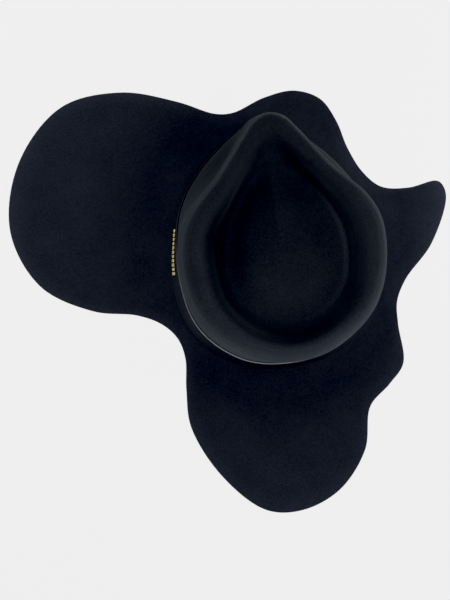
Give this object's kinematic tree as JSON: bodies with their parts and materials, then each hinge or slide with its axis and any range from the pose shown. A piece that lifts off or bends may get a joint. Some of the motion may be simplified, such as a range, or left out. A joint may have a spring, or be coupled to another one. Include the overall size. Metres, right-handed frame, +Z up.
{
  "type": "fedora hat",
  "caption": "Felt fedora with a pinched teardrop crown, a flat brim cut to a free outline, a thin band and a row of small plain gold bars on its left.",
  "frame": {"origin": "centre of the brim outline's box, on the flat underside of the brim", "axes": "+X to the picture's right, +Y towards the front of the crown, the top of the picture, +Z up"},
  "size_m": [0.3774, 0.364, 0.112],
  "materials": {
    "felt": "soft brushed felt, blue-black",
    "band": "smooth, black",
    "gold": "polished"
  },
  "bodies": {
    "root": {"felt_body": "felt", "hat_band": "band", "trim_bar_01": "gold", "trim_bar_02": "gold", "trim_bar_03": "gold", "trim_bar_04": "gold", "trim_bar_05": "gold", "trim_bar_06": "gold", "trim_bar_07": "gold", "trim_bar_08": "gold", "trim_bar_09": "gold", "trim_bar_10": "gold", "trim_bar_11": "gold"}
  },
  "joints": []
}
